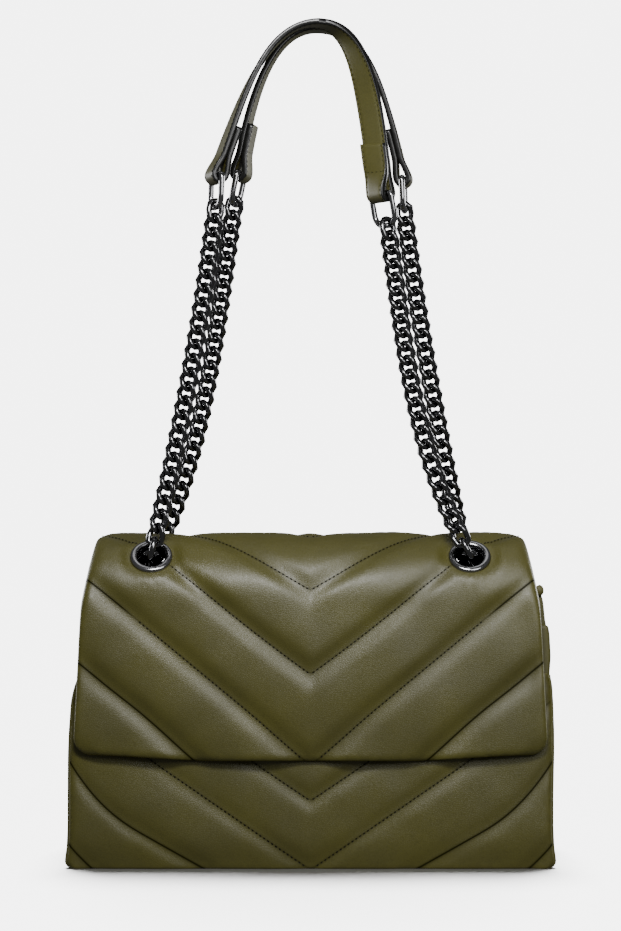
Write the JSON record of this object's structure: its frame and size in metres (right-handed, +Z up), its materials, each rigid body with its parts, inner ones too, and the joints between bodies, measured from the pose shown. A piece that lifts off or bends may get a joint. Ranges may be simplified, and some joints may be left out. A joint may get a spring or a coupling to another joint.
{
  "type": "chain shoulder bag",
  "caption": "Quilted flap shoulder bag with a rounded crown, metal eyelets and curb chain straps that end in leather handles.",
  "frame": {"origin": "bottom centre of the bag, on the surface it stands on", "axes": "+X to the right as seen from the front, -Y out of the front where the flap is, +Z up"},
  "size_m": [0.2824, 0.0952, 0.496],
  "materials": {
    "olive_leather": "soft quilted lambskin with a low sheen, dark olive green",
    "black_lining": "fine woven lining, black",
    "stiffener": "plain stiffening board",
    "gunmetal": "polished dark gunmetal plating"
  },
  "bodies": {
    "bag": {"front_panel": "olive_leather", "back_panel": "olive_leather", "crown_cover": "olive_leather", "left_gusset": "olive_leather", "right_gusset": "olive_leather", "base_panel": "olive_leather", "base_board": "stiffener", "left_binding": "olive_leather", "right_binding": "olive_leather", "lining": "black_lining", "crown_lining": "black_lining", "inner_pocket": "black_lining", "snap_sockets": "gunmetal", "eyelet_front_left": "gunmetal", "eyelet_front_right": "gunmetal", "eyelet_back_left": "gunmetal", "eyelet_back_right": "gunmetal", "eyelet_washers": "gunmetal", "bridge_chain_left": "gunmetal", "bridge_chain_right": "gunmetal"},
    "flap": {"flap_panel": "olive_leather", "flap_lining": "black_lining", "snap_studs": "gunmetal"},
    "front_strap": {"front_handle": "olive_leather", "front_ring_left": "gunmetal", "front_ring_right": "gunmetal", "front_chain_left": "gunmetal", "front_chain_right": "gunmetal"},
    "back_strap": {"back_handle": "olive_leather", "back_ring_left": "gunmetal", "back_ring_right": "gunmetal", "back_chain_left": "gunmetal", "back_chain_right": "gunmetal"}
  },
  "joints": [
    {"name": "flap_fold", "type": "hinge", "parent": "bag", "child": "flap", "pos_m": [0, -0.04, 0.152], "axis": [-1, 0, 0], "range_deg": [0, 110]},
    {"name": "front_strap_swing", "type": "hinge", "parent": "bag", "child": "front_strap", "pos_m": [0, -0.0297, 0.1817], "axis": [1, 0, 0], "range_deg": [0, 70]},
    {"name": "back_strap_swing", "type": "hinge", "parent": "bag", "child": "back_strap", "pos_m": [0, 0.0297, 0.1817], "axis": [-1, 0, 0], "range_deg": [0, 100]}
  ]
}
